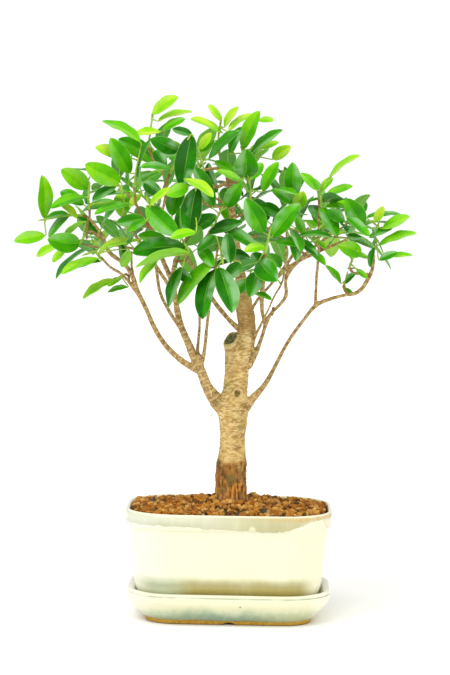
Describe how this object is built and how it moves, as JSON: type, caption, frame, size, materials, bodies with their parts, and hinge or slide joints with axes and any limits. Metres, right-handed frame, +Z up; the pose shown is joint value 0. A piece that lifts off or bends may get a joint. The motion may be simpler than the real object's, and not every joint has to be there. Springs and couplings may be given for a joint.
{
  "type": "potted broom-style ficus bonsai",
  "caption": "Broom-style ficus bonsai: a fluted trunk opening into fine limbs and glossy oval leaves, planted in granules in a glazed oval-rectangular pot on its drip saucer.",
  "frame": {"origin": "on the table, under the middle of the whole outline", "axes": "+Z up along the trunk, X along the pot's long side, the front of the tree faces -Y"},
  "size_m": [0.3968, 0.276, 0.5216],
  "materials": {
    "pot_glaze": "gloss cream glaze, grey-green where it pools at the rim and belly",
    "saucer_glaze": "gloss cream to celadon glaze over a bare orange-tan clay foot",
    "soil_granules": "matt baked granules, orange-brown",
    "bark": "matt ringed bark, flaking at the base",
    "leaf": "glossy smooth leaf",
    "drain_mesh": "matt"
  },
  "bodies": {
    "root": {"back_1": "leaf", "back_10": "leaf", "back_11": "leaf", "back_12": "leaf", "back_13": "leaf", "back_14": "leaf", "back_15": "leaf", "back_16": "leaf", "back_17": "leaf", "back_2": "leaf", "back_3": "leaf", "back_4": "leaf", "back_5": "leaf", "back_6": "leaf", "back_7": "leaf", "back_8": "leaf", "back_9": "leaf", "crest": "leaf", "crest_front": "leaf", "drain_mesh_left": "drain_mesh", "drain_mesh_right": "drain_mesh", "front_hanging": "leaf", "front_left": "leaf", "front_middle": "leaf", "front_right": "leaf", "high_front_left": "leaf", "high_front_right": "leaf", "inner_front_left": "leaf", "left_fall": "leaf", "left_lowest": "leaf", "left_middle": "leaf", "left_node": "leaf", "left_tip": "leaf", "left_under": "leaf", "low_front_left": "leaf", "low_middle_right": "leaf", "pot": "pot_glaze", "right_fall": "leaf", "right_front": "leaf", "right_high": "leaf", "right_inner": "leaf", "right_lowest": "leaf", "right_middle": "leaf", "right_tip": "leaf", "saucer": "saucer_glaze", "soil": "soil_granules", "top_left": "leaf", "top_middle": "leaf", "upper_left": "leaf", "wood": "bark"}
  },
  "joints": []
}
